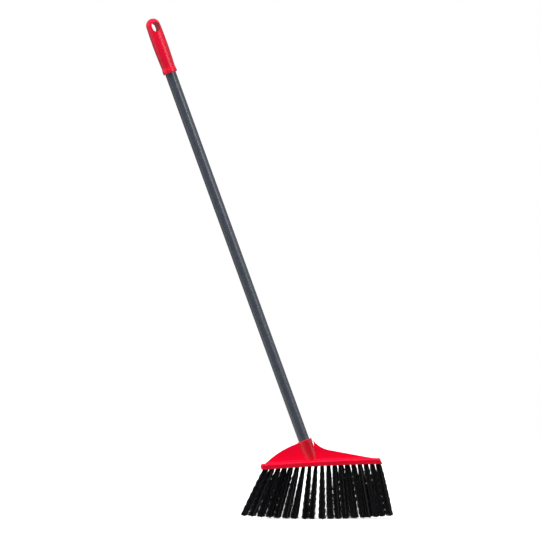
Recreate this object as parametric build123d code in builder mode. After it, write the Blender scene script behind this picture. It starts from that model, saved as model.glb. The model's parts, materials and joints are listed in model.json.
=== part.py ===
from build123d import *
import math
import os

# Angle broom: a moulded head with a fan of bristle tufts, and a tubular handle that screws into it.
# The origin is the middle of the sweeping edge, on the floor. +X runs along the sweeping edge to the
# right, +Y is the broom's back and +Z is up. Sizes are millimetres, angles are degrees.

# Tuft field
COLUMN_COUNT = 19
ROW_COUNT = 4
COLUMN_PITCH = 13.5
ROW_PITCH = 9.5
FIELD_SHIFT = 1.6  # middle of the field, right of the bar's middle

# Bar of the head, which holds the tuft field
BAR_MIDDLE_HEIGHT = 116.3  # floor to the middle of the underside
BAR_SHIFT = 9.8  # middle of the bar, right of the middle of the sweeping edge
BAR_TILT = 2.9  # the right end stands higher
BAR_END_WALL = 4.75  # mean of both ends
BAR_SIDE_WALL = 2.0
BAR_HEIGHT = 11.8
BAR_ARCH = 2.2  # how far the underside rises from its ends to its middle
BAR_CORNER = 7.0  # rounding of the ends, seen from above
BAR_CORNER_EDGE = 0.4  # the corners' rounding starts this far outside the bar's sides
BAR_TOP_ROUND = 3.0
BAR_BOTTOM_ROUND = 0.8
BAR_NOSE_RADIUS = 6.4  # rounding of the left end, seen from the front
BAR_END_SLANT = 24.0  # lean of the right end, from square to the bar

# Wings between the bar and the socket
WING_FOOT_THICKNESS = 21.0
WING_TOP_THICKNESS = 8.0
WING_FLARE = 4.0  # radius where the wings run out onto the bar
WING_SINK = 2.0  # the outline's ends lie this far inside the bar
FLARE_SINK = 0.4  # the flare's edge lies this far inside the bar
LEFT_WING_INSET = 8.0  # from the bar's left end
LEFT_WING_DROP = 1.2  # from the socket's mouth, along the handle
RIGHT_WING_INSET = 9.0  # from the bar's right end
RIGHT_WING_SLOPE = 13.4
RIGHT_WING_BEND = 20.0  # from the bar's middle to where the straight slope turns up
PEAK_DROP = 8.0  # from the socket's mouth to the right wing's peak, along the handle
NOTCH_WIDTH = 2.6  # from the socket to the right wing's peak
NOTCH_DEPTH = 11.0

# Socket for the handle
HANDLE_LEAN = 20.0  # from upright, to the left
SOCKET_SHIFT = 21.3  # handle's axis at the bar's top, left of the bar's middle
SOCKET_LENGTH = 47.0  # bar's top to the mouth, along the handle
SOCKET_WALL = 4.2  # round the tube, at the mouth
SOCKET_FOOT_WALL = 4.4  # round the thread, at the bar's top
SOCKET_FLOOR = 2.0  # from the bar's top to the end of the threaded bore, along the handle
SOCKET_SEAM_ROUND = 1.2  # where the socket meets the wings
SOCKET_MOUTH_ROUND = 0.8
SOCKET_CLEARANCE = 0.3  # between the socket's bores and the handle

# Handle tube and its threaded tip
TUBE_DIAMETER = 24.0
TUBE_WALL = 0.3
TUBE_IN_SIGHT = 852.4
TUBE_IN_SOCKET = 20.0
THREAD_DIAMETER = 19.0
THREAD_RELIEF = 1.0  # room beyond the end of the thread
THREAD_CHAMFER = 2.0
FLANGE_THICKNESS = 2.0
PLUG_LENGTH = 28.0
PLUG_WALL = 4.6
PLUG_CLEARANCE = 0.05  # between the plug and the tube round it
TURNING_GAP = 0.1  # between the flange and the end of the tube

# Grip with its hanging eye
GRIP_LENGTH = 125.5
GRIP_LIP_WALL = 3.8
GRIP_LIP_HEIGHT = 5.0
GRIP_LIP_CHAMFER = 1.0
GRIP_WAIST_WALL = 2.8
GRIP_WAIST_HEIGHT = 13.5
GRIP_BELLY_WALL = 4.4
GRIP_BELLY_HEIGHT = 68.0
GRIP_BELLY_STEPS = 5  # cones that make up the swelling
GRIP_NECK_WALL = 3.5
GRIP_CLEARANCE = 0.05  # between the bore and the tube
EYE_LENGTH = 23.0
EYE_WIDTH = 17.4
EYE_TOP_WALL = 9.0
EYE_FLOOR = 14.0  # from the eye to the end of the tube
EYE_TURN = 23.0  # the eye is turned this far about the handle

# Bristles: strands of each tuft, fused to a slice of the bar that carries one column of tufts
LEFT_SPLAY = 26.0  # lean of the left column
RIGHT_SPLAY = 13.4  # lean of the right column
DEPTH_SPLAY = 6.0  # lean of the front and back rows
TRIM_RADIUS = 1900.0  # crown of the trimmed sweeping edge
FLAT_LEFT = 118.0  # left end of the flat on which the broom stands, from its middle
FLAT_RIGHT = 44.0
STRANDS_ALONG = 2
STRANDS_ACROSS = 2
STRAND_RADIUS = 1.8  # from a strand's middle to its three corners
ROOT_SPACING = 3.4
TIP_SPACING_ALONG = 10.8
TIP_SPACING_ACROSS = 7.0
ROOT_EMBED = 2.0  # strands reach this far into their slice
SLICE_THICKNESS = 5.5
SLICE_GAP = 0.1  # round each slice in the pocket under the bar

# Flat wire anchors that hold the folded tufts in their slices
ANCHOR_LENGTH = 6.0
ANCHOR_HEIGHT = 2.5
ANCHOR_THICKNESS = 0.6
ANCHOR_GAP = 0.05

# Sizes that follow from those above
field_length = COLUMN_COUNT * COLUMN_PITCH
field_depth = ROW_COUNT * ROW_PITCH
bar_length = field_length + 2 * BAR_END_WALL
bar_depth = field_depth + 2 * BAR_SIDE_WALL
half_bar = bar_length / 2
arch_radius = (half_bar**2 + BAR_ARCH**2) / (2 * BAR_ARCH)
tube_radius = TUBE_DIAMETER / 2
tube_bore_radius = tube_radius - TUBE_WALL
thread_radius = THREAD_DIAMETER / 2
mouth_radius = tube_radius + SOCKET_CLEARANCE + SOCKET_WALL
foot_radius = thread_radius + SOCKET_CLEARANCE + SOCKET_FOOT_WALL
end_slope = math.tan(math.radians(BAR_END_SLANT))
wing_slope = math.radians(RIGHT_WING_SLOPE)
mouth_turn = math.radians(HANDLE_LEAN - BAR_TILT)

# Heights along the handle, from the bar's top
counterbore_floor = SOCKET_LENGTH - TUBE_IN_SOCKET
flange_bottom = counterbore_floor + SOCKET_CLEARANCE
flange_top = flange_bottom + FLANGE_THICKNESS
thread_end = SOCKET_FLOOR + THREAD_RELIEF
tube_bottom = flange_top + TURNING_GAP
grip_rim = SOCKET_LENGTH + TUBE_IN_SIGHT
grip_top = grip_rim + GRIP_LENGTH
eye_middle = grip_top - EYE_TOP_WALL - EYE_LENGTH / 2
tube_top = grip_top - EYE_TOP_WALL - EYE_LENGTH - EYE_FLOOR


def leaning_plane(origin, lean):
    """A level plane at a point, tipped about Y so that its normal leans to the left."""
    turn = math.radians(lean)
    along = (math.cos(turn), 0, math.sin(turn))
    normal = (-math.sin(turn), 0, math.cos(turn))
    return Plane(origin=origin, x_dir=along, z_dir=normal)


def front_of(plane):
    """The front view of a leaning plane: its X to the right and its normal upwards."""
    return Plane(origin=plane.origin, x_dir=plane.x_dir, z_dir=-plane.y_dir)


bar_plane = leaning_plane((BAR_SHIFT, 0, BAR_MIDDLE_HEIGHT), BAR_TILT)
bar_front = front_of(bar_plane)
bar_section = Plane(origin=bar_plane.origin, x_dir=bar_plane.y_dir, z_dir=bar_plane.x_dir)
arch_middle = bar_plane.from_local_coords(Vector(0, 0, -arch_radius))
arch_axis = Axis(arch_middle, bar_plane.y_dir)
socket_foot = bar_plane.from_local_coords(Vector(-SOCKET_SHIFT, 0, BAR_HEIGHT))
handle_plane = leaning_plane(socket_foot, HANDLE_LEAN)
handle_front = front_of(handle_plane)
handle_axis = Axis(handle_plane.origin, handle_plane.z_dir)


def arch_drop(along):
    """How far the arched underside lies below its middle, at a distance along the bar."""
    return arch_radius - math.sqrt(arch_radius**2 - along**2)


def arch_degrees(length):
    """The angle that a length of the arch spans."""
    return math.degrees(length / arch_radius)


def sweep_along_arch(section, left, right, mode=Mode.ADD):
    """Carry a section along the arch, so far to the left and to the right of the bar's middle."""
    revolve(section, axis=arch_axis, revolution_arc=arch_degrees(right), mode=mode)
    revolve(section, axis=arch_axis, revolution_arc=-arch_degrees(left), mode=mode)


def seen_on_bar(radius, height):
    """A point of the handle's front view, in the coordinates of the bar's front view."""
    point = bar_front.to_local_coords(handle_front.from_local_coords(Vector(radius, height, 0)))
    return (point.X, point.Y)


def socket_radius(height):
    """Outer radius of the tapered socket."""
    return foot_radius + (mouth_radius - foot_radius) * height / SOCKET_LENGTH


# Bar: a rounded section along the arch, cut to its outline from above and from the front
with BuildPart() as bar:
    half_depth = bar_depth / 2
    middle = BAR_HEIGHT / 2
    with BuildSketch(bar_section, mode=Mode.PRIVATE) as bar_profile:
        with BuildLine():
            FilletPolyline(
                (half_depth, middle),
                (half_depth, BAR_HEIGHT),
                (-half_depth, BAR_HEIGHT),
                (-half_depth, middle),
                radius=BAR_TOP_ROUND,
            )
            FilletPolyline(
                (-half_depth, middle),
                (-half_depth, 0),
                (half_depth, 0),
                (half_depth, middle),
                radius=BAR_BOTTOM_ROUND,
            )
        make_face()
    sweep_along_arch(bar_profile.sketch, bar_length, bar_length)
    with BuildSketch(bar_plane.offset(-BAR_HEIGHT)):
        RectangleRounded(bar_length, bar_depth + 2 * BAR_CORNER_EDGE, BAR_CORNER + BAR_CORNER_EDGE)
    extrude(amount=3 * BAR_HEIGHT, mode=Mode.INTERSECT)
    low = -arch_drop(half_bar)
    nose = -half_bar + BAR_NOSE_RADIUS
    high = low + 2 * BAR_NOSE_RADIUS
    above = 2 * BAR_HEIGHT
    with BuildSketch(bar_front):
        with BuildLine():
            Polyline(
                (nose, high),
                (nose, above),
                (half_bar - (above - low) * end_slope, above),
                (half_bar, low),
                (half_bar, -BAR_HEIGHT),
                (nose, -BAR_HEIGHT),
                (nose, low),
            )
            ThreePointArc((nose, low), (-half_bar, low + BAR_NOSE_RADIUS), (nose, high))
        make_face()
    extrude(amount=bar_depth, both=True, mode=Mode.INTERSECT)

# Wings: a flared wedge along the arch, cut to its outline from the front
with BuildPart() as wings:
    left_height = SOCKET_LENGTH - LEFT_WING_DROP
    left_top = seen_on_bar(-socket_radius(left_height), left_height)
    peak_height = SOCKET_LENGTH - PEAK_DROP
    peak = seen_on_bar(socket_radius(peak_height) + NOTCH_WIDTH, peak_height)
    notch_height = peak_height - NOTCH_DEPTH
    notch = seen_on_bar(socket_radius(notch_height), notch_height)
    left_end = half_bar - LEFT_WING_INSET
    right_end = half_bar - RIGHT_WING_INSET
    left_foot = (-left_end, BAR_HEIGHT - WING_SINK - arch_drop(left_end))
    right_foot = (right_end, BAR_HEIGHT - WING_SINK - arch_drop(right_end))
    bend = (RIGHT_WING_BEND, right_foot[1] + (right_end - RIGHT_WING_BEND) * math.tan(wing_slope))
    foot = WING_FOOT_THICKNESS / 2
    tip = WING_TOP_THICKNESS / 2
    flare_edge = foot + WING_FLARE
    flare_low = BAR_HEIGHT - FLARE_SINK
    flare_high = flare_low + WING_FLARE
    wing_root = BAR_HEIGHT / 2
    wing_top = seen_on_bar(mouth_radius, SOCKET_LENGTH)[1]
    with BuildSketch(bar_section, mode=Mode.PRIVATE) as wing_profile:
        with BuildLine():
            Polyline(
                (flare_edge, flare_low),
                (flare_edge, wing_root),
                (-flare_edge, wing_root),
                (-flare_edge, flare_low),
            )
            RadiusArc((-flare_edge, flare_low), (-foot, flare_high), WING_FLARE)
            Polyline((-foot, flare_high), (-tip, wing_top), (tip, wing_top), (foot, flare_high))
            RadiusArc((foot, flare_high), (flare_edge, flare_low), WING_FLARE)
        make_face()
    sweep_along_arch(wing_profile.sketch, bar_length, bar_length)
    with BuildSketch(bar_front):
        with BuildLine():
            TangentArc(left_top, left_foot, tangent=(-math.cos(mouth_turn), -math.sin(mouth_turn)))
            Polyline(left_foot, (-left_end, 0), (right_end, 0), right_foot, bend)
            TangentArc(bend, peak, tangent=(-math.cos(wing_slope), math.sin(wing_slope)))
            Polyline(peak, notch, seen_on_bar(0, left_height), left_top)
        make_face()
    extrude(amount=bar_depth, both=True, mode=Mode.INTERSECT)

# Socket: a tapered boss round the handle's axis, rooted in the bar
with BuildPart() as socket:
    socket_root = -(foot_radius * math.tan(mouth_turn) + WING_SINK)
    with BuildSketch(handle_front):
        with BuildLine():
            Polyline(
                (0, SOCKET_LENGTH),
                (0, socket_root),
                (socket_radius(socket_root), socket_root),
                (mouth_radius, SOCKET_LENGTH),
                close=True,
            )
        make_face()
    revolve(axis=handle_axis)
    mouth_edge = socket.edges().sort_by(handle_axis)[-1]
    fillet(mouth_edge, radius=SOCKET_MOUTH_ROUND)

# Bar and wings in one piece
with BuildPart() as winged_bar:
    add(wings.part)
    add(bar.part)

# Moulded head: winged bar and socket, with the handle's bores and the pocket for the tuft field
with BuildPart() as broom_head:
    add(winged_bar.part)
    add(socket.part)
    seams = new_edges(winged_bar.part, socket.part, combined=broom_head.part)
    wing_seams = seams.sort_by(SortBy.LENGTH)[-4:]
    fillet(wing_seams, radius=SOCKET_SEAM_ROUND)
    with BuildSketch(handle_plane.offset(counterbore_floor)):
        Circle(tube_radius + SOCKET_CLEARANCE)
    extrude(amount=2 * TUBE_IN_SOCKET, mode=Mode.SUBTRACT)
    with BuildSketch(handle_plane.offset(SOCKET_FLOOR)):
        Circle(thread_radius + SOCKET_CLEARANCE)
    extrude(amount=SOCKET_LENGTH, mode=Mode.SUBTRACT)
    with BuildSketch(bar_section, mode=Mode.PRIVATE) as pocket_profile:
        Rectangle(field_depth, 2 * SLICE_THICKNESS)
    pocket_ends = field_length / 2 - FIELD_SHIFT, field_length / 2 + FIELD_SHIFT
    sweep_along_arch(pocket_profile.sketch, *pocket_ends, mode=Mode.SUBTRACT)

# Threaded tip of the handle: a flange, a cored plug inside the tube and the thread's plain envelope
with BuildPart() as thread_ferrule:
    plug_radius = tube_bore_radius - PLUG_CLEARANCE
    with BuildSketch(handle_front):
        with BuildLine():
            Polyline(
                (0, thread_end),
                (thread_radius - THREAD_CHAMFER, thread_end),
                (thread_radius, thread_end + THREAD_CHAMFER),
                (thread_radius, flange_bottom),
                (tube_radius, flange_bottom),
                (tube_radius, flange_top),
                (plug_radius, flange_top),
                (plug_radius, flange_top + PLUG_LENGTH),
                (plug_radius - PLUG_WALL, flange_top + PLUG_LENGTH),
                (plug_radius - PLUG_WALL, flange_top),
                (0, flange_top),
                close=True,
            )
        make_face()
    revolve(axis=handle_axis)

# Handle tube
with BuildPart() as handle_tube:
    with BuildSketch(handle_plane.offset(tube_bottom)):
        Circle(tube_radius)
        Circle(tube_bore_radius, mode=Mode.SUBTRACT)
    extrude(amount=tube_top - tube_bottom)

# Grip: a swelling cap over the tube's end, with a lip, a domed top and an eye to hang it by
with BuildPart() as hang_grip:
    lip_radius = tube_radius + GRIP_LIP_WALL
    waist_radius = tube_radius + GRIP_WAIST_WALL
    neck_radius = tube_radius + GRIP_NECK_WALL
    neck_height = grip_top - neck_radius
    with BuildSketch(handle_front):
        with BuildLine():
            Polyline(
                (0, grip_top),
                (0, grip_rim),
                (lip_radius - GRIP_LIP_CHAMFER, grip_rim),
                (lip_radius, grip_rim + GRIP_LIP_CHAMFER),
                (lip_radius, grip_rim + GRIP_LIP_HEIGHT),
                (waist_radius, grip_rim + GRIP_WAIST_HEIGHT),
            )
            swelling = ThreePointArc(
                (waist_radius, grip_rim + GRIP_WAIST_HEIGHT),
                (tube_radius + GRIP_BELLY_WALL, grip_rim + GRIP_BELLY_HEIGHT),
                (neck_radius, neck_height),
                mode=Mode.PRIVATE,
            )
            Polyline([swelling @ (step / GRIP_BELLY_STEPS) for step in range(GRIP_BELLY_STEPS + 1)])
            RadiusArc((neck_radius, neck_height), (0, grip_top), -neck_radius)
        make_face()
    revolve(axis=handle_axis)
    with BuildSketch(handle_plane.offset(grip_rim)):
        Circle(tube_radius + GRIP_CLEARANCE)
    extrude(amount=tube_top - grip_rim, mode=Mode.SUBTRACT)
    eye_side = Plane(
        origin=handle_plane.from_local_coords(Vector(0, 0, eye_middle)),
        x_dir=handle_plane.z_dir,
        z_dir=handle_plane.y_dir.rotate(handle_axis, EYE_TURN),
    )
    with BuildSketch(eye_side):
        SlotOverall(EYE_LENGTH, EYE_WIDTH)
    extrude(amount=2 * neck_radius, both=True, mode=Mode.SUBTRACT)


def column_place(number):
    """The plane of one column's slice: its origin on the arched underside, its normal upwards."""
    turn = arch_degrees((number - (COLUMN_COUNT - 1) / 2) * COLUMN_PITCH + FIELD_SHIFT)
    along = arch_radius * math.sin(math.radians(turn))
    origin = bar_plane.from_local_coords(Vector(along, 0, -arch_drop(along)))
    return leaning_plane(origin, BAR_TILT - turn)


def spread(count, spacing):
    """Places along a line, even and centred."""
    return [(number - (count - 1) / 2) * spacing for number in range(count)]


def fan_lean(number):
    """Lean of a column's tufts, from the left splay through upright to the right splay."""
    share = 2 * number / (COLUMN_COUNT - 1) - 1
    return (LEFT_SPLAY + RIGHT_SPLAY) / 2 * share + (RIGHT_SPLAY - LEFT_SPLAY) / 2 * share**2


def crown(along):
    """How far the crowned edge lies above its middle, at a distance along it."""
    return TRIM_RADIUS - math.sqrt(TRIM_RADIUS**2 - along**2)


def trim_height(along):
    """Height of the trimmed sweeping edge above the floor, beyond the flat to stand on."""
    flat_end = FLAT_RIGHT if along > 0 else FLAT_LEFT
    return max(crown(along) - crown(flat_end), 0)


def level_triangle(middle):
    """A level three-cornered face round a point, the section of a strand."""
    corners = [Vector(0, STRAND_RADIUS, 0).rotate(Axis.Z, turn) for turn in (0, 120, 240)]
    return Face(Wire.make_polygon([middle + corner for corner in corners]))


def strand(root, floor_point):
    """One straight strand from its root towards a point of the floor, ending at the trimmed edge."""
    reach = 1 - trim_height(floor_point.X) / root.Z
    tip_middle = root + (floor_point - root) * reach
    return Solid.extrude(level_triangle(tip_middle), root - tip_middle)


def tuft_strands(root, lean, depth_lean):
    """The strands of one tuft, spreading from its root to the floor."""
    aim = Vector(root.X + root.Z * math.tan(lean), root.Y + root.Z * math.tan(depth_lean), 0)
    strands = []
    for step_along in spread(STRANDS_ALONG, 1):
        for step_across in spread(STRANDS_ACROSS, 1):
            start = root + Vector(step_along * ROOT_SPACING, step_across * ROOT_SPACING, ROOT_EMBED)
            end = aim + Vector(step_along * TIP_SPACING_ALONG, step_across * TIP_SPACING_ACROSS, 0)
            strands.append(strand(start, end))
    return strands


def column_strands(number):
    """The strands of one column's tufts, from front to back."""
    place = column_place(number)
    outer_row = (ROW_COUNT - 1) / 2 * ROW_PITCH
    strands = []
    for across in spread(ROW_COUNT, ROW_PITCH):
        root = place.from_local_coords(Vector(0, across, 0))
        depth_lean = DEPTH_SPLAY * across / outer_row
        strands += tuft_strands(root, math.radians(fan_lean(number)), math.radians(depth_lean))
    return strands


def tuft_column(number):
    """One column of tufts, fused to its slice of the bar, with a slot for each tuft's anchor."""
    place = column_place(number)
    strands = column_strands(number)
    with BuildPart() as column:
        with BuildSketch(place):
            Rectangle(COLUMN_PITCH - 2 * SLICE_GAP, field_depth - 2 * SLICE_GAP)
        extrude(amount=SLICE_THICKNESS - SLICE_GAP)
        add(strands)
        with BuildSketch(place.offset(SLICE_THICKNESS - SLICE_GAP - ANCHOR_HEIGHT - ANCHOR_GAP)):
            with GridLocations(COLUMN_PITCH, ROW_PITCH, 1, ROW_COUNT):
                Rectangle(ANCHOR_LENGTH + 2 * ANCHOR_GAP, ANCHOR_THICKNESS + 2 * ANCHOR_GAP)
        extrude(amount=2 * ANCHOR_HEIGHT, mode=Mode.SUBTRACT)
    return column.part


# Anchors: one flat wire in the slot over each tuft
with BuildPart() as tuft_anchors:
    for number in range(COLUMN_COUNT):
        with BuildSketch(column_place(number).offset(SLICE_THICKNESS - SLICE_GAP - ANCHOR_HEIGHT)):
            with GridLocations(COLUMN_PITCH, ROW_PITCH, 1, ROW_COUNT):
                Rectangle(ANCHOR_LENGTH, ANCHOR_THICKNESS)
    extrude(amount=ANCHOR_HEIGHT)

pieces = {
    "broom_head": broom_head.part,
    "thread_ferrule": thread_ferrule.part,
    "handle_tube": handle_tube.part,
    "hang_grip": hang_grip.part,
    "tuft_anchors": tuft_anchors.part,
}
for number in range(COLUMN_COUNT):
    pieces[f"tuft_column_{number + 1:02d}"] = tuft_column(number)

os.makedirs("parts", exist_ok=True)
for name, piece in pieces.items():
    piece.label = name
    export_step(piece, f"parts/{name}.step")
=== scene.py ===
# %% [markdown]
# # An angle broom
#
# The broom is four kinds of thing: one red moulding with wings and a socket, a fan of black crimped
# filament, a grey coated steel tube and a red cap with a hanging eye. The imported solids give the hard
# pieces their shape and place. This lesson gives them their finishes, and makes what solids can't show
# well: thousands of filaments, the drilled underside that they come out of, and a screw thread.

# %% Load the solids
import bmesh
import bpy
import json
import math
from mathutils import Matrix, Vector


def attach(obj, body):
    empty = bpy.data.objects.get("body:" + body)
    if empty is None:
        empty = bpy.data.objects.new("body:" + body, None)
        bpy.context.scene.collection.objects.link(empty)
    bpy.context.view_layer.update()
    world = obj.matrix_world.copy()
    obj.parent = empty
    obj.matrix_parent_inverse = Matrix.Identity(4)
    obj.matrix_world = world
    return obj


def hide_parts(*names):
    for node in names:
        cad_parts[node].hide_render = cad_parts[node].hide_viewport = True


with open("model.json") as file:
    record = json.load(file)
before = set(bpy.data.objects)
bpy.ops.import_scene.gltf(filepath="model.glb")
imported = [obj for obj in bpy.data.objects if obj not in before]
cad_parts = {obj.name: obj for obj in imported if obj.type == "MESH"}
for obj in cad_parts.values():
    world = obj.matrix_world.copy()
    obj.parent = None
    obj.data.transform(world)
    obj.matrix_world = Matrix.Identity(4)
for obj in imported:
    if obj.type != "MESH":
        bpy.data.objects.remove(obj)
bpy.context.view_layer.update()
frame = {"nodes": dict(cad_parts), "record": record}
MM = 0.001

# %% [markdown]
# ## Two helpers
#
# Colours are easiest to choose as hex values, which are sRGB. Shaders want linear light, so one function
# turns the one into the other. A second function adds a node, sets it up and links it, for shader trees
# and geometry trees alike, so that each tree below reads as a list of steps.


# %% Helpers
def linear(hex_colour):
    """A hex colour as linear red, green, blue and alpha."""
    parts = [int(hex_colour[start:start + 2], 16) / 255 for start in (1, 3, 5)]
    light = [part / 12.92 if part <= 0.04045 else ((part + 0.055) / 1.055) ** 2.4 for part in parts]
    return light + [1.0]


def add_node(tree, kind, inputs=None, **settings):
    """Add a node with its settings. An input is a value, or another node's output to link."""
    node = tree.nodes.new(kind)
    for name, value in settings.items():
        setattr(node, name, value)
    for key, value in (inputs or {}).items():
        if isinstance(value, bpy.types.NodeSocket):
            tree.links.new(value, node.inputs[key])
        else:
            node.inputs[key].default_value = value
    return node


# %% [markdown]
# ## Camera
#
# The picture was taken from straight in front with a long lens, so a level camera far away gives the same
# flat view: uprights stay upright and both ends of the broom have one scale. The lens is worked out from
# the width that the picture covers at the broom.

# %% Camera
VIEW_WIDTH = 1177.2 * MM
VIEW_MIDDLE = Vector((-102.5 * MM, 0, 542.8 * MM))
CAMERA_DISTANCE = 9.0
CAMERA_REACH = 50.0

camera_data = bpy.data.cameras.new("camera")
camera_data.lens = camera_data.sensor_width * CAMERA_DISTANCE / VIEW_WIDTH
camera_data.clip_end = CAMERA_REACH
camera = bpy.data.objects.new("camera", camera_data)
camera.location = VIEW_MIDDLE - Vector((0, CAMERA_DISTANCE, 0))
camera.rotation_euler = (math.radians(90), 0, 0)
bpy.context.scene.collection.objects.link(camera)
bpy.context.scene.camera = camera
print("lens", round(camera_data.lens, 1), "mm")

# %% [markdown]
# ## Studio
#
# One big soft lamp stands high on the left. It makes the faces that look up bright, such as the wings,
# leaves the bar in between and keeps the upright socket darkest. A soft lamp behind does this for the back,
# a weak one lifts the left side, and a narrow one draws a thin line of light on the right of the socket.
# Two strips and a small soft lamp are for the handle alone: light linking keeps them off the head, where
# their streaks would be out of place. The soft lamps above, behind and at the grip give light but no glint,
# because a wide glint would veil the red.
#
# The white around the object isn't made by more light. The world shows white to the camera and gives only a
# low grey as light. In gloss it is white at both sides and fades to that grey in front and behind, since a
# white front would veil every face that looks at the camera. The floor does the same, and keeps the shadow
# under the bristles.

# %% Studio
HEAD_SPOT = Vector((0, 0, 0.15))
TUBE_SPOT = Vector((-0.2, 0, 0.6))
GRIP_SPOT = Vector((-0.33, 0, 1.0))
LAMPS = {
    # name: place, target and size in metres, then watts
    "top_softbox": ((-3.6, -2.2, 10.2), HEAD_SPOT, (4.0, 3.0), 2600),
    "back_softbox": ((-0.2, 6.0, 3.5), HEAD_SPOT, (9.0, 5.0), 260),
    "left_softbox": ((-2.6, -0.5, 0.9), TUBE_SPOT, (2.0, 2.0), 8),
    "right_strip": ((1.75, -0.2, 0.52), HEAD_SPOT, (0.08, 0.6), 2),
    "tube_strip": ((1.2, -0.81, 1.05), TUBE_SPOT, (0.25, 1.2), 5),
    "grip_strip": ((0.95, -1.3, 1.5), GRIP_SPOT, (0.2, 1.0), 12),
    "grip_softbox": ((-0.75, -2.2, 1.3), GRIP_SPOT, (0.6, 0.6), 13),
}
HANDLE_LAMPS = ("tube_strip", "grip_strip", "grip_softbox")
GLINTLESS_LAMPS = ("top_softbox", "back_softbox", "grip_softbox")
FLOOR_SIDE = 8.0
FLOOR_SHADE = 0.15  # the grey that throws light back at the broom
PAPER_SHADE = 0.5  # the grey that takes the shadow where the floor is seen
PAPER_GLOW = 0.75  # what lifts that grey to white
WORLD_LIGHT = 0.08
WORLD_FADE = (0.3, 0.92)  # share of a ray that runs to front or back: white up to one, grey from the other
FLOOR_FADE = (0.1, 0.6)  # the same, in metres to front or back


def seen_rays(tree, place, fade):
    """A socket that is 1 for rays that show the background: straight, through glass, or in gloss.

    In gloss it falls from 1 to 0 where a place is further to front or back, between the values of fade.
    """
    maths = "ShaderNodeMath"
    white, dark = fade
    path = add_node(tree, "ShaderNodeLightPath").outputs
    depth = add_node(tree, "ShaderNodeSeparateXYZ", {0: place}).outputs["Y"]
    depth = add_node(tree, maths, {0: depth}, operation="ABSOLUTE").outputs[0]
    aside = add_node(
        tree,
        "ShaderNodeMapRange",
        {"Value": depth, "From Min": white, "From Max": dark, "To Min": 1, "To Max": 0},
    ).outputs[0]
    gloss = add_node(tree, maths, {0: path["Is Glossy Ray"], 1: aside}, operation="MULTIPLY").outputs[0]
    seen = path["Is Camera Ray"]
    for ray in (path["Is Transmission Ray"], gloss):
        seen = add_node(tree, maths, {0: seen, 1: ray}, operation="MAXIMUM").outputs[0]
    return seen


handle_pieces = bpy.data.collections.new("handle pieces")
for node_name in ("handle_tube", "hang_grip"):
    handle_pieces.objects.link(frame["nodes"][node_name])
for lamp_name, (place, target, size, watts) in LAMPS.items():
    lamp_data = bpy.data.lights.new(lamp_name, "AREA")
    lamp_data.shape = "RECTANGLE"
    lamp_data.size, lamp_data.size_y = size
    lamp_data.energy = watts
    lamp = bpy.data.objects.new(lamp_name, lamp_data)
    lamp.location = place
    lamp.rotation_euler = (target - lamp.location).to_track_quat("-Z", "Y").to_euler()
    bpy.context.scene.collection.objects.link(lamp)
    lamp.visible_glossy = lamp_name not in GLINTLESS_LAMPS
    if lamp_name in HANDLE_LAMPS:
        lamp.light_linking.receiver_collection = handle_pieces

world = bpy.data.worlds.new("studio")
world.use_nodes = True
world.node_tree.nodes.clear()
ray = add_node(world.node_tree, "ShaderNodeTexCoord").outputs["Generated"]
strength = add_node(
    world.node_tree,
    "ShaderNodeMapRange",
    {"Value": seen_rays(world.node_tree, ray, WORLD_FADE), "To Min": WORLD_LIGHT, "To Max": 1.0},
)
background = add_node(
    world.node_tree, "ShaderNodeBackground", {"Color": (1, 1, 1, 1), "Strength": strength.outputs[0]}
)
add_node(world.node_tree, "ShaderNodeOutputWorld", {"Surface": background.outputs[0]})
bpy.context.scene.world = world

floor_material = bpy.data.materials.new("white paper")
floor_material.use_nodes = True
floor_tree = floor_material.node_tree
floor_tree.nodes.clear()
bounce = add_node(floor_tree, "ShaderNodeBsdfDiffuse", {"Color": (FLOOR_SHADE,) * 3 + (1,)})
paper = add_node(floor_tree, "ShaderNodeBsdfDiffuse", {"Color": (PAPER_SHADE,) * 3 + (1,)})
glow = add_node(floor_tree, "ShaderNodeEmission", {"Color": (1, 1, 1, 1), "Strength": PAPER_GLOW})
lit_paper = add_node(floor_tree, "ShaderNodeAddShader", {0: paper.outputs[0], 1: glow.outputs[0]})
spot = add_node(floor_tree, "ShaderNodeTexCoord").outputs["Object"]
shown = add_node(
    floor_tree,
    "ShaderNodeMixShader",
    {0: seen_rays(floor_tree, spot, FLOOR_FADE), 1: bounce.outputs[0], 2: lit_paper.outputs[0]},
)
add_node(floor_tree, "ShaderNodeOutputMaterial", {"Surface": shown.outputs[0]})

half = FLOOR_SIDE / 2
floor_corners = [(-half, -half, 0), (half, -half, 0), (half, half, 0), (-half, half, 0)]
floor_mesh = bpy.data.meshes.new("floor")
floor_mesh.from_pydata(floor_corners, [], [(0, 1, 2, 3)])
floor_mesh.materials.append(floor_material)
floor = bpy.data.objects.new("floor", floor_mesh)
bpy.context.scene.collection.objects.link(floor)
bpy.context.scene.view_settings.view_transform = "Standard"
print("lamps", len(LAMPS), "of which the handle alone has", len(HANDLE_LAMPS))

# %% [markdown]
# ## Finishes
#
# Each finish starts from what the real stuff is. The red head and cap are injection-moulded polypropylene:
# a soft plastic with a waxy, satin skin, faint flow clouds and a fine grain from the mould. The tube is
# steel under a slate coating that is satin and slightly orange-peeled. The filament is black polypropylene,
# drawn and crimped, with a dull sheen: most are deep black, and a few are greyer. The threaded tip is black
# nylon and the anchors in the holes are plain drawn wire. Noise on the object's own coordinates makes these
# patterns, each at a size that is written in millimetres.


# %% Finishes
def new_finish(name):
    """An empty material with a principled shader that is already joined to its output."""
    material = bpy.data.materials.new(name)
    material.use_nodes = True
    material.node_tree.nodes.clear()
    shader = add_node(material.node_tree, "ShaderNodeBsdfPrincipled")
    add_node(material.node_tree, "ShaderNodeOutputMaterial", {"Surface": shader.outputs[0]})
    return material, material.node_tree, shader


def per_metre(millimetres):
    """A texture scale that repeats about once in a length of so many millimetres."""
    return 1 / (millimetres * MM)


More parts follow.
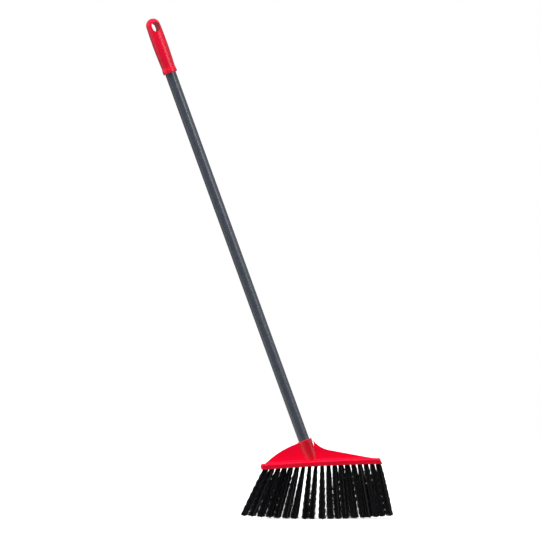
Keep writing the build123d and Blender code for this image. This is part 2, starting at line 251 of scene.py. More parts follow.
def moulded_polypropylene(name, shade, clouded, dullness, shine, edge_round):
    """Red polypropylene: flow clouds of two close reds, a mould grain and edges that are never sharp."""
    FLOW_CLOUD = 28.0
    MOULD_GRAIN = 1.6  # the real grain is a third of this, too fine to show
    GRAIN_TONES = (0.3, 0.7)  # most of the noise lies between these
    GRAIN_DULLING = (-0.01, 0.02)  # what the grain takes from the roughness, and adds to it
    GRAIN_HEIGHT = 0.1 * MM
    material, tree, shader = new_finish(name)
    place = add_node(tree, "ShaderNodeTexCoord").outputs["Object"]
    clouds = add_node(
        tree, "ShaderNodeTexNoise", {"Vector": place, "Scale": per_metre(FLOW_CLOUD), "Detail": 3.0}
    ).outputs[0]
    red = add_node(
        tree, "ShaderNodeMix", {0: clouds, 6: linear(shade), 7: linear(clouded)}, data_type="RGBA"
    ).outputs[2]
    grain = add_node(
        tree, "ShaderNodeTexNoise", {"Vector": place, "Scale": per_metre(MOULD_GRAIN), "Detail": 2.0}
    ).outputs[0]
    roughness = add_node(
        tree,
        "ShaderNodeMapRange",
        {
            "Value": grain,
            "From Min": GRAIN_TONES[0],
            "From Max": GRAIN_TONES[1],
            "To Min": dullness + GRAIN_DULLING[0],
            "To Max": dullness + GRAIN_DULLING[1],
        },
    ).outputs[0]
    rounded = add_node(tree, "ShaderNodeBevel", {"Radius": edge_round * MM}, samples=6).outputs[0]
    skin = add_node(
        tree,
        "ShaderNodeBump",
        {"Height": grain, "Strength": 0.04, "Distance": GRAIN_HEIGHT, "Normal": rounded},
    ).outputs[0]
    for socket, value in {"Base Color": red, "Roughness": roughness, "Normal": skin}.items():
        tree.links.new(value, shader.inputs[socket])
    shader.inputs["IOR"].default_value = 1.4
    shader.inputs["Specular IOR Level"].default_value = shine
    return material


def slate_coating(name):
    """A slate powder coat on steel: satin, with a fine orange peel and a faint mottle along the tube."""
    MOTTLE = 9.0
    ORANGE_PEEL = 2.2
    PEEL_HEIGHT = 0.15 * MM
    material, tree, shader = new_finish(name)
    place = add_node(tree, "ShaderNodeTexCoord").outputs["Object"]
    mottle = add_node(
        tree, "ShaderNodeTexNoise", {"Vector": place, "Scale": per_metre(MOTTLE), "Detail": 4.0}
    ).outputs[0]
    slate = add_node(
        tree, "ShaderNodeMix", {0: mottle, 6: linear("#2F343C"), 7: linear("#434952")}, data_type="RGBA"
    ).outputs[2]
    roughness = add_node(
        tree, "ShaderNodeMapRange", {"Value": mottle, "To Min": 0.3, "To Max": 0.33}
    ).outputs[0]
    peel = add_node(
        tree, "ShaderNodeTexNoise", {"Vector": place, "Scale": per_metre(ORANGE_PEEL), "Detail": 2.0}
    ).outputs[0]
    skin = add_node(
        tree, "ShaderNodeBump", {"Height": peel, "Strength": 0.06, "Distance": PEEL_HEIGHT}
    ).outputs[0]
    for socket, value in {"Base Color": slate, "Roughness": roughness, "Normal": skin}.items():
        tree.links.new(value, shader.inputs[socket])
    shader.inputs["Specular IOR Level"].default_value = 0.4
    return material


def crimped_filament(name):
    """Black polypropylene filament: each one's own tone from black to grey, with a dull sheen."""
    material, tree, shader = new_finish(name)
    tone = add_node(tree, "ShaderNodeAttribute", attribute_name=TONE).outputs["Fac"]
    black = add_node(
        tree, "ShaderNodeMix", {0: tone, 6: linear("#070708"), 7: linear("#58585E")}, data_type="RGBA"
    ).outputs[2]
    tree.links.new(black, shader.inputs["Base Color"])
    shader.inputs["Roughness"].default_value = 0.5
    shader.inputs["Specular IOR Level"].default_value = 0.12
    return material


def moulded_nylon(name):
    """Black nylon of the threaded tip: satin, with a faint cloud of grey."""
    NYLON_CLOUD = 6.0
    material, tree, shader = new_finish(name)
    place = add_node(tree, "ShaderNodeTexCoord").outputs["Object"]
    cloud = add_node(
        tree, "ShaderNodeTexNoise", {"Vector": place, "Scale": per_metre(NYLON_CLOUD)}
    ).outputs[0]
    black = add_node(
        tree, "ShaderNodeMix", {0: cloud, 6: linear("#121213"), 7: linear("#242526")}, data_type="RGBA"
    ).outputs[2]
    tree.links.new(black, shader.inputs["Base Color"])
    shader.inputs["Roughness"].default_value = 0.42
    return material


def drawn_steel(name):
    """Plain flat steel wire, bright with the fine dull marks that drawing leaves."""
    DRAW_MARK = 0.3
    material, tree, shader = new_finish(name)
    place = add_node(tree, "ShaderNodeTexCoord").outputs["Object"]
    marks = add_node(tree, "ShaderNodeTexNoise", {"Vector": place, "Scale": per_metre(DRAW_MARK)}).outputs[0]
    roughness = add_node(
        tree, "ShaderNodeMapRange", {"Value": marks, "To Min": 0.25, "To Max": 0.45}
    ).outputs[0]
    tree.links.new(roughness, shader.inputs["Roughness"])
    shader.inputs["Base Color"].default_value = linear("#B9B9B6")
    shader.inputs["Metallic"].default_value = 1.0
    return material


TONE = "tone"  # the attribute that carries each filament's tone
head_red = moulded_polypropylene("red polypropylene, head", "#F60130", "#EC0029", 0.28, 0.5, 0.8)
cap_red = moulded_polypropylene("red polypropylene, cap", "#D40830", "#C60628", 0.32, 0.4, 0.5)
slate = slate_coating("slate powder coat")
filament_black = crimped_filament("black polypropylene filament")
nylon_black = moulded_nylon("black nylon")
wire_steel = drawn_steel("drawn steel wire")
NODE_FINISHES = {
    "broom_head": head_red,
    "hang_grip": cap_red,
    "handle_tube": slate,
    "tuft_anchors": wire_steel,
}
for node_name, finish in NODE_FINISHES.items():
    frame["nodes"][node_name].data.materials.clear()
    frame["nodes"][node_name].data.materials.append(finish)
print("finished", len(NODE_FINISHES), "solids")

# %% [markdown]
# ## Where the tufts are
#
# The tufts stand in a grid under an arched, slightly tilted bar, and fan out to both ends. On a real broom
# the fan isn't even, so some columns lean aside by up to two degrees, towards a neighbour. The same few
# sizes place the drilled holes and the filaments, so a point on the bar is worked out once.

# %% Tuft field
COLUMNS = 19
ROWS = 4
COLUMN_PITCH = 13.5 * MM
ROW_PITCH = 9.5 * MM
FIELD_SHIFT = 1.6 * MM
BAR_MIDDLE = Vector((9.8 * MM, 0, 116.3 * MM))
BAR_TILT = math.radians(2.9)
BAR_HALF_LENGTH = 133.0 * MM
ARCH_RISE = 2.2 * MM
ARCH_RADIUS = (BAR_HALF_LENGTH**2 + ARCH_RISE**2) / (2 * ARCH_RISE)
DEPTH_SPLAY = 4.5  # degrees, of the first and the last row
FAN = ((-1.0, -26.2), (-0.33, -10.5), (0.0, 0.0), (0.55, 10.0), (1.0, 12.6))  # place in the row, degrees
LEAN_ASIDE = {1: -0.4, 3: 0.5, 5: -0.3, 7: 1.6, 8: -1.2, 12: -0.6, 14: 0.6, 16: -0.5}  # column: degrees


def under_bar(along, across):
    """A point on the arched underside, at a distance along the bar and across it."""
    drop = along**2 / (2 * ARCH_RADIUS)
    return BAR_MIDDLE + Vector(
        (
            along * math.cos(BAR_TILT) + drop * math.sin(BAR_TILT),
            across,
            along * math.sin(BAR_TILT) - drop * math.cos(BAR_TILT),
        )
    )


def fan_lean(column):
    """Lean of a column's tufts in degrees, from the left splay through upright to the right splay."""
    share = 2 * column / (COLUMNS - 1) - 1
    for (left, left_lean), (right, right_lean) in zip(FAN, FAN[1:]):
        if share <= right:
            even = left_lean + (right_lean - left_lean) * (share - left) / (right - left)
            return even + LEAN_ASIDE.get(column, 0)


def tuft_places(column):
    """Each tuft of a column as its root and the floor point that it aims at."""
    places = []
    along = (column - (COLUMNS - 1) / 2) * COLUMN_PITCH + FIELD_SHIFT
    for row in range(ROWS):
        step = row - (ROWS - 1) / 2
        root = under_bar(along, step * ROW_PITCH)
        depth_lean = DEPTH_SPLAY * step / ((ROWS - 1) / 2)
        lean = Vector((math.tan(math.radians(fan_lean(column))), math.tan(math.radians(depth_lean)), -1))
        places.append((root, root + lean * root.z))
    return places


print("tufts", COLUMNS * ROWS, "under an arch with a radius of", round(ARCH_RADIUS, 2), "m")

# %% [markdown]
# ## Filaments
#
# A tuft is a bundle of crimped filament, folded in its hole. Modelling thousands of strands by hand is out
# of the question, and a hair system would be dropped by the export. Geometry Nodes fit: the tree takes one
# point for each tuft, makes many points of it, draws a line from each to the floor, bends it into a crimp,
# and gives it a three-sided body. Every size is an input, and a seed keeps each run the same.


# %% Tree that grows crimped tufts
def crimped_tufts():
    """Geometry tree: from tuft roots, with the point that each aims at, to crimped filaments."""
    STRAY_RARITY = 5.0  # the higher it is, the fewer filaments stray far
    TONE_RARITY = 5.0  # the higher it is, the fewer filaments are grey
    CRIMP_DRIFT = 3.5  # radians, by which the filaments of a tuft wave out of step
    CRIMP_START = 0.2  # share of the length at which the crimp has its full height
    tree = bpy.data.node_groups.new("crimped tufts", "GeometryNodeTree")
    sockets = {
        "Geometry": "NodeSocketGeometry",
        "Filaments": "NodeSocketInt",
        "Segments": "NodeSocketInt",
        "Thickness": "NodeSocketFloat",
        "Root Radius": "NodeSocketFloat",
        "Tip Spread": "NodeSocketVector",
        "Flare": "NodeSocketFloat",
        "Tuft Wander": "NodeSocketVector",
        "Stray": "NodeSocketVector",
        "Crimps": "NodeSocketFloat",
        "Crimp Height": "NodeSocketFloat",
        "Crown": "NodeSocketFloat",
        "Ragged": "NodeSocketFloat",
        "Scallop": "NodeSocketFloat",
        "Seed": "NodeSocketInt",
        "Material": "NodeSocketMaterial",
    }
    for name, kind in sockets.items():
        tree.interface.new_socket(name, in_out="INPUT", socket_type=kind)
    tree.interface.new_socket("Geometry", in_out="OUTPUT", socket_type="NodeSocketGeometry")
    given = add_node(tree, "NodeGroupInput").outputs
    random = "FunctionNodeRandomValue"
    vector = "ShaderNodeVectorMath"
    maths = "ShaderNodeMath"

    # Many points at each tuft's root
    bundle = add_node(
        tree,
        "GeometryNodeDuplicateElements",
        {"Geometry": given["Geometry"], "Amount": given["Filaments"]},
        domain="POINT",
    )
    tuft = add_node(tree, "GeometryNodeInputNamedAttribute", {"Name": "tuft"}, data_type="INT").outputs[0]
    aim = add_node(
        tree, "GeometryNodeInputNamedAttribute", {"Name": "aim"}, data_type="FLOAT_VECTOR"
    ).outputs[0]
    root = add_node(tree, "GeometryNodeInputPosition").outputs[0]

    # Each filament's seat: a random place in a disc, which it keeps from its root to its tip
    away = add_node(tree, random, {2: 0.0, 3: 1.0, "Seed": given["Seed"]}, data_type="FLOAT").outputs[1]
    away = add_node(tree, maths, {0: away, 1: 0.5}, operation="POWER").outputs[0]
    turn = add_node(tree, random, {2: 0.0, 3: math.tau, "Seed": 11}, data_type="FLOAT").outputs[1]
    spoke = add_node(tree, "ShaderNodeCombineXYZ", {"X": away}).outputs[0]
    seat = add_node(
        tree, "ShaderNodeVectorRotate", {"Vector": spoke, "Angle": turn}, rotation_type="Z_AXIS"
    ).outputs[0]
    start = add_node(
        tree, vector, {0: seat, 1: given["Root Radius"], 2: root}, operation="MULTIPLY_ADD"
    ).outputs[0]

    # Its tip: the tuft's own aim, spread by the seat, with a wander of the whole tuft and a few strays
    spread = add_node(tree, vector, {0: seat, 1: given["Tip Spread"]}, operation="MULTIPLY").outputs[0]
    tip = add_node(tree, vector, {0: spread, 1: aim}, operation="ADD").outputs[0]
    wander = add_node(
        tree,
        random,
        {0: (-1, -1, 0), 1: (1, 1, 0), "ID": tuft, "Seed": given["Seed"]},
        data_type="FLOAT_VECTOR",
    ).outputs[0]
    tip = add_node(
        tree, vector, {0: wander, 1: given["Tuft Wander"], 2: tip}, operation="MULTIPLY_ADD"
    ).outputs[0]
    loose = add_node(
        tree, random, {0: (-1, -1, 0), 1: (1, 1, 0), "Seed": 12}, data_type="FLOAT_VECTOR"
    ).outputs[0]
    rare = add_node(tree, random, {2: 0.0, 3: 1.0, "Seed": 13}, data_type="FLOAT").outputs[1]
    rare = add_node(tree, maths, {0: rare, 1: STRAY_RARITY}, operation="POWER").outputs[0]
    loose = add_node(tree, vector, {0: loose, "Scale": rare}, operation="SCALE").outputs[0]
    tip = add_node(tree, vector, {0: loose, 1: given["Stray"], 2: tip}, operation="MULTIPLY_ADD").outputs[0]

    # Where the trimming cuts it: a crowned edge, ragged, with each tuft's outer filaments a little shorter
    tip_along = add_node(tree, "ShaderNodeSeparateXYZ", {0: tip}).outputs["X"]
    square = add_node(tree, maths, {0: tip_along, 1: tip_along}, operation="MULTIPLY").outputs[0]
    ragged = add_node(tree, random, {2: 0.0, 3: given["Ragged"], "Seed": 14}, data_type="FLOAT").outputs[1]
    height = add_node(
        tree, maths, {0: square, 1: given["Crown"], 2: ragged}, operation="MULTIPLY_ADD"
    ).outputs[0]
    outer = add_node(tree, vector, {0: seat, 1: seat}, operation="DOT_PRODUCT").outputs["Value"]
    height = add_node(
        tree, maths, {0: outer, 1: given["Scallop"], 2: height}, operation="MULTIPLY_ADD"
    ).outputs[0]
    root_height = add_node(tree, "ShaderNodeSeparateXYZ", {0: root}).outputs["Z"]
    cut = add_node(tree, maths, {0: height, 1: root_height}, operation="DIVIDE").outputs[0]
    tip = add_node(tree, "ShaderNodeMix", {0: cut, 4: tip, 5: start}, data_type="VECTOR").outputs[1]

    # Its crimp: a tuft's filaments wave partly together, to about the same side
    phase = add_node(
        tree, random, {2: 0.0, 3: math.tau, "ID": tuft, "Seed": 15}, data_type="FLOAT"
    ).outputs[1]
    drift = add_node(tree, random, {2: 0.0, 3: CRIMP_DRIFT, "Seed": 16}, data_type="FLOAT").outputs[1]
    phase = add_node(tree, maths, {0: phase, 1: drift}, operation="ADD").outputs[0]
    side = add_node(
        tree, random, {0: (0.5, -0.8, 0), 1: (1, 0.8, 0), "Seed": 17}, data_type="FLOAT_VECTOR"
    ).outputs[0]

    # Its tone: most are near black, and a few are grey
    tone = add_node(tree, random, {2: 0.0, 3: 1.0, "Seed": 18}, data_type="FLOAT").outputs[1]
    tone = add_node(tree, maths, {0: tone, 1: TONE_RARITY}, operation="POWER").outputs[0]

    # The points keep these values, and so do the lines that are drawn at them
    points = bundle.outputs["Geometry"]
    kept = {"start": start, "tip": tip, "spread": spread, "side": side, "phase": phase, TONE: tone}
    value_of = {}
    for name, field in kept.items():
        kind = "FLOAT" if name in ("phase", TONE) else "FLOAT_VECTOR"
        points = add_node(
            tree,
            "GeometryNodeStoreNamedAttribute",
            {"Geometry": points, "Name": name, "Value": field},
            data_type=kind,
            domain="POINT",
        ).outputs[0]
        value_of[name] = add_node(
            tree, "GeometryNodeInputNamedAttribute", {"Name": name}, data_type=kind
        ).outputs[0]
    line = add_node(tree, "GeometryNodeCurvePrimitiveLine").outputs[0]
    line = add_node(
        tree, "GeometryNodeResampleCurve", {"Curve": line, "Count": given["Segments"]}
    ).outputs[0]
    lines = add_node(tree, "GeometryNodeInstanceOnPoints", {"Points": points, "Instance": line}).outputs[0]
    lines = add_node(tree, "GeometryNodeRealizeInstances", {"Geometry": lines}).outputs[0]

    # Every point of a line goes to its place between root and tip, and aside by the flare and the crimp
    along = add_node(tree, "GeometryNodeSplineParameter").outputs["Factor"]
    straight = add_node(
        tree, "ShaderNodeMix", {0: along, 4: value_of["start"], 5: value_of["tip"]}, data_type="VECTOR"
    ).outputs[1]
    early = add_node(tree, maths, {0: along, 1: given["Flare"]}, operation="POWER").outputs[0]
    early = add_node(tree, maths, {0: early, 1: along}, operation="SUBTRACT").outputs[0]
    flare = add_node(tree, vector, {0: value_of["spread"], "Scale": early}, operation="SCALE").outputs[0]
    angle = add_node(
        tree, maths, {0: along, 1: given["Crimps"], 2: value_of["phase"]}, operation="MULTIPLY_ADD"
    ).outputs[0]
    wave = add_node(tree, maths, {0: angle}, operation="SINE").outputs[0]
    swell = add_node(
        tree, "ShaderNodeMapRange", {"Value": along, "From Max": CRIMP_START, "To Max": given["Crimp Height"]}
    ).outputs[0]
    wave = add_node(tree, maths, {0: wave, 1: swell}, operation="MULTIPLY").outputs[0]
    crimp = add_node(tree, vector, {0: value_of["side"], "Scale": wave}, operation="SCALE").outputs[0]
    aside = add_node(tree, vector, {0: flare, 1: crimp}, operation="ADD").outputs[0]
    lines = add_node(
        tree, "GeometryNodeSetPosition", {"Geometry": lines, "Position": straight, "Offset": aside}
    ).outputs[0]

    # A three-sided body
    half_thick = add_node(tree, maths, {0: given["Thickness"], 1: 0.5}, operation="MULTIPLY").outputs[0]
    section = add_node(
        tree, "GeometryNodeCurvePrimitiveCircle", {"Resolution": 3, "Radius": half_thick}
    ).outputs[0]
    body = add_node(
        tree, "GeometryNodeCurveToMesh", {"Curve": lines, "Profile Curve": section, "Fill Caps": True}
    ).outputs[0]
    body = add_node(tree, "GeometryNodeSetShadeSmooth", {"Geometry": body}).outputs[0]
    body = add_node(tree, "GeometryNodeRealizeInstances", {"Geometry": body}).outputs[0]
    body = add_node(
        tree, "GeometryNodeSetMaterial", {"Geometry": body, "Material": given["Material"]}
    ).outputs[0]
    add_node(tree, "NodeGroupOutput", {"Geometry": body})
    return tree


tuft_tree = crimped_tufts()
print("tuft tree has", len(tuft_tree.nodes), "nodes")

# %% [markdown]
# ## From a tree to a plain mesh
#
# The pieces are to be plain meshes, without instances or live modifiers. The export drops instances and live
# modifiers. So the tree is put on an object, its inputs are set, and the evaluated result is kept as a plain
# mesh. The modifier is gone before the piece is tied to a body.


# %% Helper that grows a piece from a tree
def grown(name, mesh, tree, sizes):
    """The plain mesh object that a tree makes of a starting mesh, with its inputs given by name."""
    piece = bpy.data.objects.new(name, mesh)
    bpy.context.scene.collection.objects.link(piece)
    modifier = piece.modifiers.new(tree.name, "NODES")
    modifier.node_group = tree
    for item in tree.interface.items_tree:
        if item.in_out == "INPUT" and item.name in sizes:
            modifier[item.identifier] = sizes[item.name]
    evaluated = piece.evaluated_get(bpy.context.evaluated_depsgraph_get())
    result = bpy.data.meshes.new_from_object(evaluated)
    piece.modifiers.clear()
    piece.data = result
    result.name = name
    return piece


# %% [markdown]
# ## Nineteen columns of tufts
#
# The filaments in the middle stand close, so slits of light reach the floor there. To both ends the tufts
# are looser: they flare out soon below the bar, which closes the slits there but for a few specks. How loose
# a column is comes from a list, from 0 to 1, and sets its spread, flare, wander and strays. The two outermost
# columns aren't in it: they have values of their own, which keep them inside the sweeping edge. The tips are
# crowned, so both ends are about 7 mm higher than the middle.

# %% Bristles
FILAMENTS_IN_TUFT = 60
FILAMENT_SEGMENTS = 27
FILAMENT_THICKNESS = 0.75 * MM
ROOT_RADIUS = 3.3 * MM
ROOT_DEPTH = 3.0 * MM
CRIMP_LENGTH = 15.0 * MM
CRIMP_HEIGHT = 1.0 * MM
CROWN_RADIUS = 1900 * MM
RAGGED_TRIM = 2.2 * MM
SCALLOP = 1.3 * MM  # how much shorter a tuft's outermost filaments are
FIRST_SEED = 100
LOOSENESS = (0.95, 0.9, 0.98, 0.94, 0.75, 0.25, 0.25, 0.25, 0.3, 0.65, 0.9, 1, 1, 0.95, 1, 1, 1)

# Each pair is a tight column's value and what full looseness adds to it
SPREAD = (0.7, 0.27)  # share of the room that a column has at the floor
FLARE = (1.0, -0.6)  # power of the way down: 1 is an even cone, and less spreads sooner
WANDER = (0.6 * MM, 0.9 * MM)
STRAY = (3.0 * MM, 2.0 * MM)
END_SPREAD = 8.0 * MM
END_FLARE = 0.35
END_STRAY = 2.0 * MM
DEPTH_SPREAD = 7.0 * MM
DEPTH_WANDER = 0.6 * MM
DEPTH_STRAY = 1.0 * MM


def column_looks(column):
    """Tip spread, flare, wander and stray along the bar of a column's filaments."""
    if column in (0, COLUMNS - 1):
        return END_SPREAD, END_FLARE, 0, END_STRAY
    loose = LOOSENESS[column - 1]
    left_aim = tuft_places(column - 1)[0][1]
    right_aim = tuft_places(column + 1)[0][1]
    room = (right_aim.x - left_aim.x) / 4
    spread, flare, wander, stray = (tight + more * loose for tight, more in (SPREAD, FLARE, WANDER, STRAY))
    return room * spread, flare, wander, stray


for column in range(COLUMNS):
    places = tuft_places(column)
    tuft_mesh = bpy.data.meshes.new("tuft roots")
    tuft_mesh.from_pydata([root + Vector((0, 0, ROOT_DEPTH)) for root, aim in places], [], [])
    tuft_mesh.attributes.new("aim", "FLOAT_VECTOR", "POINT")
    tuft_mesh.attributes.new("tuft", "INT", "POINT")
    for index, (root, aim) in enumerate(places):
        tuft_mesh.attributes["aim"].data[index].vector = aim
        tuft_mesh.attributes["tuft"].data[index].value = column * ROWS + index
    length = places[0][0].z
    spread, flare, wander, stray = column_looks(column)
    sizes = {
        "Filaments": FILAMENTS_IN_TUFT,
        "Segments": FILAMENT_SEGMENTS,
        "Thickness": FILAMENT_THICKNESS,
        "Root Radius": ROOT_RADIUS,
        "Tip Spread": (spread, DEPTH_SPREAD, 0),
        "Flare": flare,
        "Tuft Wander": (wander, DEPTH_WANDER, 0),
        "Stray": (stray, DEPTH_STRAY, 0),
        "Crimps": math.tau * length / CRIMP_LENGTH,
        "Crimp Height": CRIMP_HEIGHT,
        "Crown": 1 / (2 * CROWN_RADIUS),
        "Ragged": RAGGED_TRIM,
        "Scallop": SCALLOP,
        "Seed": FIRST_SEED + column,
        "Material": filament_black,
    }
    bristles = grown(f"bristles_{column + 1:02d}", tuft_mesh, tuft_tree, sizes)
    for helper in ("aim", "tuft", "start", "tip", "spread", "side", "phase"):
        if helper in bristles.data.attributes:
            bristles.data.attributes.remove(bristles.data.attributes[helper])
    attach(bristles, "head")
    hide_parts(f"tuft_column_{column + 1:02d}")
print("filaments", COLUMNS * ROWS * FILAMENTS_IN_TUFT, "faces in a column", len(bristles.data.polygons))

# %% [markdown]
# ## Drilled underside
#
# The tufts come out of round holes in the underside of the bar. The solids carry the tufts on plain slices,
# so the drilled face is made here: one cell with a countersunk hole is modelled, a tree sets it out on a
# grid, welds the cells, gives the sheet walls and a back, and bends it to the arch of the bar.

# %% One cell with its hole
HOLE_RADIUS = 4.0 * MM
HOLE_RIM = 0.5 * MM
HOLE_DEPTH = 5.0 * MM
HOLE_SIDES = 16
PLATE_THICKNESS = 5.3 * MM
NEARLY_ZERO = 0.001 * MM


def drilled_cell():
    """One cell of the underside, facing down, with a rim, a wall and a floor to its hole."""
    cell = bmesh.new()
    rings = []
    for radius, depth in ((HOLE_RADIUS + HOLE_RIM, 0), (HOLE_RADIUS, HOLE_RIM), (HOLE_RADIUS, HOLE_DEPTH)):
        ring = []
        for side in range(HOLE_SIDES):
            turn = math.tau * (side + 0.5) / HOLE_SIDES
            ring.append(cell.verts.new((radius * math.cos(turn), radius * math.sin(turn), depth)))
        rings.append(ring)
    border = []
    for side in range(HOLE_SIDES):
        turn = math.tau * (side + 0.5) / HOLE_SIDES
        reach = min(
            COLUMN_PITCH / 2 / abs(math.cos(turn)),
            ROW_PITCH / 2 / abs(math.sin(turn)),
        )
        border.append(cell.verts.new((reach * math.cos(turn), reach * math.sin(turn), 0)))
    corners = {}
    for x in (-1, 1):
        for y in (-1, 1):
            corners[(x, y)] = cell.verts.new((x * COLUMN_PITCH / 2, y * ROW_PITCH / 2, 0))
    loops = [border] + rings
    for outer, inner in zip(loops, loops[1:]):
        for side in range(HOLE_SIDES):
            following = (side + 1) % HOLE_SIDES
            face = [outer[side], inner[side], inner[following], outer[following]]
            step = outer[following].co - outer[side].co
            if outer is border and min(abs(step.x), abs(step.y)) > NEARLY_ZERO:
                middle = outer[side].co + step / 2
                face.append(corners[(math.copysign(1, middle.x), math.copysign(1, middle.y))])
            cell.faces.new(face)
    cell.faces.new(rings[-1])
    bmesh.ops.recalc_face_normals(cell, faces=cell.faces)
    mesh = bpy.data.meshes.new("drilled cell")
    cell.to_mesh(mesh)
    cell.free()
    return mesh


cell_object = bpy.data.objects.new("drilled cell", drilled_cell())
print("cell has", len(cell_object.data.polygons), "faces")


# %% Tree that sets out the holes
def drilled_sheet():
    """Geometry tree: a grid of drilled cells, welded, with walls and a back, bent to the arch."""
    WELD = 0.02 * MM
    tree = bpy.data.node_groups.new("drilled sheet", "GeometryNodeTree")
    sockets = {
        "Geometry": "NodeSocketGeometry",
        "Cell": "NodeSocketObject",
        "Columns": "NodeSocketInt",
        "Rows": "NodeSocketInt",
        "Column Pitch": "NodeSocketFloat",
        "Row Pitch": "NodeSocketFloat",
        "Thickness": "NodeSocketFloat",
        "Arch Radius": "NodeSocketFloat",
        "Material": "NodeSocketMaterial",
    }
    for name, kind in sockets.items():
        tree.interface.new_socket(name, in_out="INPUT", socket_type=kind)
    tree.interface.new_socket("Geometry", in_out="OUTPUT", socket_type="NodeSocketGeometry")
    given = add_node(tree, "NodeGroupInput").outputs
    maths = "ShaderNodeMath"

    # Cells on a grid, welded into one sheet
    spans = []
    for count, pitch in (("Columns", "Column Pitch"), ("Rows", "Row Pitch")):
        gaps = add_node(tree, maths, {0: given[count], 1: 1.0}, operation="SUBTRACT").outputs[0]
        spans.append(add_node(tree, maths, {0: gaps, 1: given[pitch]}, operation="MULTIPLY").outputs[0])
    grid = add_node(
        tree,
        "GeometryNodeMeshGrid",
        {"Size X": spans[0], "Size Y": spans[1], "Vertices X": given["Columns"], "Vertices Y": given["Rows"]},
    ).outputs["Mesh"]
    cell = add_node(tree, "GeometryNodeObjectInfo", {"Object": given["Cell"]}).outputs["Geometry"]
    sheet = add_node(tree, "GeometryNodeInstanceOnPoints", {"Points": grid, "Instance": cell}).outputs[0]
    sheet = add_node(tree, "GeometryNodeRealizeInstances", {"Geometry": sheet}).outputs[0]
    sheet = add_node(tree, "GeometryNodeMergeByDistance", {"Geometry": sheet, "Distance": WELD}).outputs[0]

    # Walls rise from the free edges, and a back closes them
    neighbours = add_node(tree, "GeometryNodeInputMeshEdgeNeighbors").outputs[0]
    free = add_node(
        tree, "FunctionNodeCompare", {2: neighbours, 3: 1}, data_type="INT", operation="EQUAL"
    ).outputs[0]
    rise = add_node(tree, "ShaderNodeCombineXYZ", {"Z": given["Thickness"]}).outputs[0]
    walls = add_node(
        tree, "GeometryNodeExtrudeMesh", {"Mesh": sheet, "Selection": free, "Offset": rise}, mode="EDGES"
    )
    rim = add_node(
        tree,
        "GeometryNodeSeparateGeometry",
        {"Geometry": walls.outputs["Mesh"], "Selection": walls.outputs["Top"]},
        domain="EDGE",
    ).outputs[0]
    rim = add_node(tree, "GeometryNodeMeshToCurve", {"Mesh": rim}).outputs[0]
    back = add_node(tree, "GeometryNodeFillCurve", {"Curve": rim}, mode="TRIANGLES").outputs[0]
    back = add_node(tree, "GeometryNodeTransform", {"Geometry": back, "Translation": rise}).outputs[0]
    joined = add_node(tree, "GeometryNodeJoinGeometry")
    for piece in (back, walls.outputs["Mesh"]):
        tree.links.new(piece, joined.inputs[0])
    body = add_node(
        tree, "GeometryNodeMergeByDistance", {"Geometry": joined.outputs[0], "Distance": WELD}
    ).outputs[0]

    # The arch: a point drops by the square of its distance from the middle
    place = add_node(tree, "GeometryNodeInputPosition").outputs[0]
    along = add_node(tree, "ShaderNodeSeparateXYZ", {0: place}).outputs["X"]
    square = add_node(tree, maths, {0: along, 1: along}, operation="MULTIPLY").outputs[0]
    twice = add_node(tree, maths, {0: given["Arch Radius"], 1: -2.0}, operation="MULTIPLY").outputs[0]
    drop = add_node(tree, maths, {0: square, 1: twice}, operation="DIVIDE").outputs[0]
    fall = add_node(tree, "ShaderNodeCombineXYZ", {"Z": drop}).outputs[0]
    body = add_node(tree, "GeometryNodeSetPosition", {"Geometry": body, "Offset": fall}).outputs[0]
    body = add_node(tree, "GeometryNodeRealizeInstances", {"Geometry": body}).outputs[0]
    body = add_node(
        tree, "GeometryNodeSetMaterial", {"Geometry": body, "Material": given["Material"]}
    ).outputs[0]
    add_node(tree, "NodeGroupOutput", {"Geometry": body})
    return tree


# %% Drilled underside
SHARP_TURN = math.radians(40)


def soften(shape):
    """Shade a shape smooth, apart from the edges where it turns sharply."""
    for face in shape.faces:
        face.smooth = True
    for edge in shape.edges:
        edge.smooth = edge.calc_face_angle(0) < SHARP_TURN


underside = grown(
    "drilled_underside",
    bpy.data.meshes.new("blank"),
    drilled_sheet(),
    {
        "Cell": cell_object,
        "Columns": COLUMNS,
        "Rows": ROWS,
        "Column Pitch": COLUMN_PITCH,
        "Row Pitch": ROW_PITCH,
        "Thickness": PLATE_THICKNESS,
        "Arch Radius": ARCH_RADIUS,
        "Material": head_red,
    },
)
bpy.data.objects.remove(cell_object)
field_turn = FIELD_SHIFT / ARCH_RADIUS - BAR_TILT
field_place = Matrix.Translation(under_bar(FIELD_SHIFT, 0)) @ Matrix.Rotation(field_turn, 4, "Y")
underside.data.transform(field_place)
sheet = bmesh.new()
sheet.from_mesh(underside.data)
bmesh.ops.recalc_face_normals(sheet, faces=sheet.faces)
soften(sheet)
open_edges = sum(1 for edge in sheet.edges if not edge.is_manifold)
sheet.to_mesh(underside.data)
sheet.free()
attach(underside, "head")
print("underside has", len(underside.data.polygons), "faces and", open_edges, "open edges")

# %% [markdown]
# ## Threaded tip
#
# The tip of the handle is moulded nylon: a coarse round thread that screws into the socket, a flange and a
# hollow plug inside the tube. The solid has only the thread's plain envelope. A screw thread is a lathe
# shape whose radius also depends on the turn, so rings of points are stacked along the axis and each point
# of the thread is pushed out by where the helix passes. The hinge in the record gives the axis.

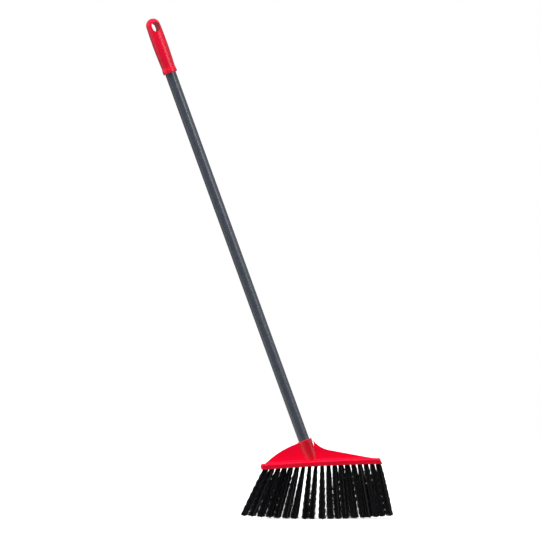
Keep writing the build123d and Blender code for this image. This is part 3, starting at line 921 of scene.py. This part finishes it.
# %% Threaded tip
THREAD_PITCH = 5.08 * MM
CREST_RADIUS = 9.45 * MM
CORE_RADIUS = 8.1 * MM
THREAD_RISE = 6.0  # how much steeper than a plain wave, which leaves flats on crest and root
RINGS_IN_PITCH = 12
LATHE_SIDES = 40
THREAD_END = 3.0 * MM
LEAD_IN = 3.0 * MM
LEAD_IN_TAPER = 1.0 * MM
FLANGE_BOTTOM = 27.3 * MM
SOCKET_LENGTH = 47.0 * MM
FLANGE = ((11.95, 27.3), (11.95, 29.3))  # radius and height in millimetres, as for the plug
PLUG = ((11.6, 29.3), (11.6, 56.4), (10.8, 57.2), (7.1, 57.2), (7.1, 29.3))


def thread_radius(height, turn):
    """Radius of the thread at a height and a share of a turn, running out to the core at the lower end."""
    wave = math.cos(math.tau * ((height - THREAD_END) / THREAD_PITCH - turn))
    ridge = 0.5 + 0.5 * math.tanh(THREAD_RISE * wave / 2) / math.tanh(THREAD_RISE / 2)
    grown_share = min(1, (height - THREAD_END) / LEAD_IN)
    core = CORE_RADIUS - LEAD_IN_TAPER * (1 - grown_share)
    return core + (CREST_RADIUS - CORE_RADIUS) * ridge * grown_share


def threaded_tip():
    """The tip as one closed lathe mesh, standing on its axis."""
    tip = bmesh.new()
    rings = []
    thread_length = FLANGE_BOTTOM - THREAD_END
    thread_rings = round(thread_length / THREAD_PITCH * RINGS_IN_PITCH)
    shares = [side / LATHE_SIDES for side in range(LATHE_SIDES)]
    for step in range(thread_rings + 1):
        height = THREAD_END + thread_length * step / thread_rings
        rings.append([(thread_radius(height, share), height) for share in shares])
    for radius, height in FLANGE + PLUG:
        rings.append([(radius * MM, height * MM)] * LATHE_SIDES)
    loops = []
    for ring in rings:
        loop = []
        for share, (radius, height) in zip(shares, ring):
            turn = math.tau * share
            loop.append(tip.verts.new((radius * math.cos(turn), radius * math.sin(turn), height)))
        loops.append(loop)
    for lower, upper in zip(loops, loops[1:]):
        for side in range(LATHE_SIDES):
            following = (side + 1) % LATHE_SIDES
            tip.faces.new((lower[side], lower[following], upper[following], upper[side]))
    tip.faces.new(reversed(loops[0]))
    tip.faces.new(loops[-1])
    bmesh.ops.recalc_face_normals(tip, faces=tip.faces)
    soften(tip)
    mesh = bpy.data.meshes.new("threaded_tip")
    tip.to_mesh(mesh)
    tip.free()
    return mesh


joints = frame["record"]["behaviour"]["joints"]
handle_turn = next(joint for joint in joints if joint["name"] == "handle_turn")
handle_axis = Vector(handle_turn["axis"])
bar_top = Vector(handle_turn["pos_m"]) - handle_axis * SOCKET_LENGTH
upright_to_axis = handle_axis.to_track_quat("Z", "Y").to_matrix().to_4x4()
threaded = bpy.data.objects.new("threaded_tip", threaded_tip())
threaded.data.transform(Matrix.Translation(bar_top) @ upright_to_axis)
threaded.data.materials.append(nylon_black)
bpy.context.scene.collection.objects.link(threaded)
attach(threaded, "ferrule")
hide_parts("thread_ferrule")
print("threaded tip has", len(threaded.data.polygons), "faces")
